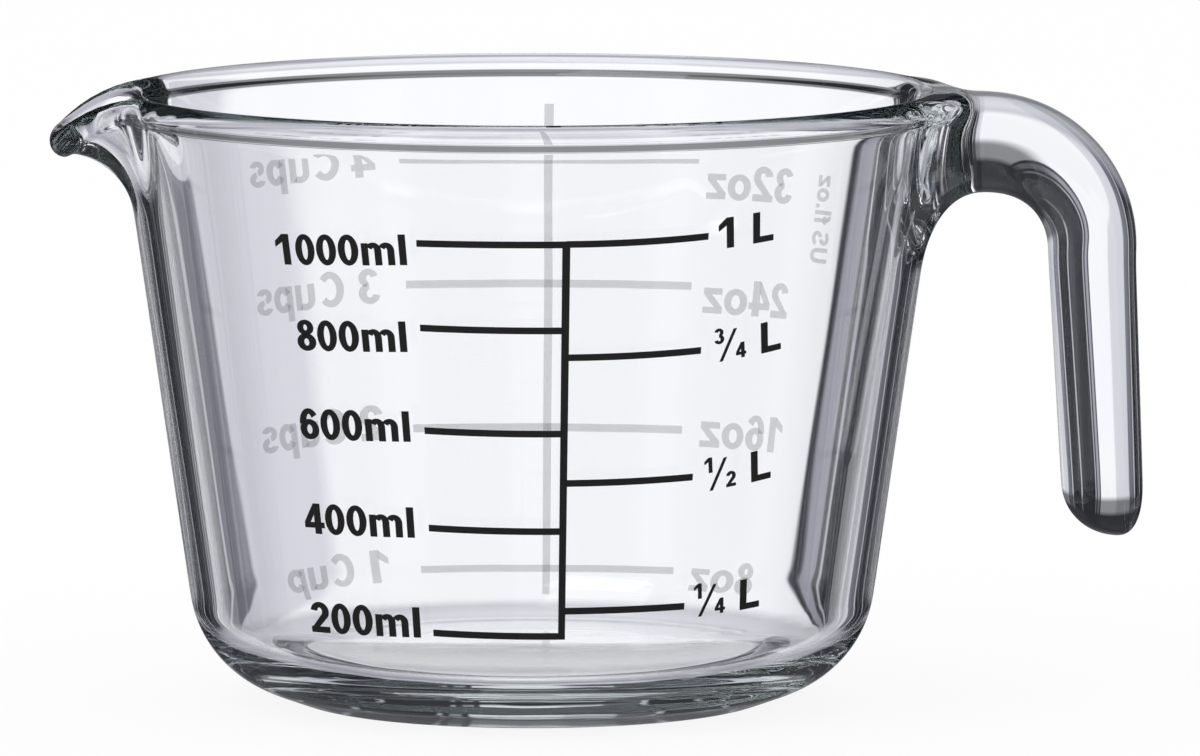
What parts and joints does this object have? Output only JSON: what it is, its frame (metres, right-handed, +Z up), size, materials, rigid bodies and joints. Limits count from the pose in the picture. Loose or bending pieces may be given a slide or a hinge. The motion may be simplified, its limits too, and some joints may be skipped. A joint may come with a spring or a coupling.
{
  "type": "measuring jug",
  "caption": "Clear pressed glass measuring jug with a tapered round bowl, drooping pouring lip, open hook handle and printed millilitre, litre, cup and ounce scales.",
  "frame": {"origin": "centre of the flat base, on the bowl's axis, at table level", "axes": "+Z up along the bowl's axis, +X towards the handle, -X towards the pouring lip, -Y towards the front scale"},
  "size_m": [0.1957, 0.1494, 0.11],
  "materials": {
    "glass": "clear fire-polished pressed glass",
    "front_print": "gloss black fired enamel",
    "rear_print": "pale grey fired enamel"
  },
  "bodies": {
    "root": {"bowl": "glass", "pouring_lip": "glass", "handle": "glass", "front_spine": "front_print", "line_1000_ml": "front_print", "line_800_ml": "front_print", "line_600_ml": "front_print", "line_400_ml": "front_print", "line_200_ml": "front_print", "line_one_litre": "front_print", "line_three_quarter_litre": "front_print", "line_half_litre": "front_print", "line_quarter_litre": "front_print", "rear_spine": "rear_print", "line_4_cup": "rear_print", "line_3_cup": "rear_print", "line_2_cup": "rear_print", "line_1_cup": "rear_print", "line_32_ounce": "rear_print", "line_24_ounce": "rear_print", "line_16_ounce": "rear_print", "line_8_ounce": "rear_print"}
  },
  "joints": []
}
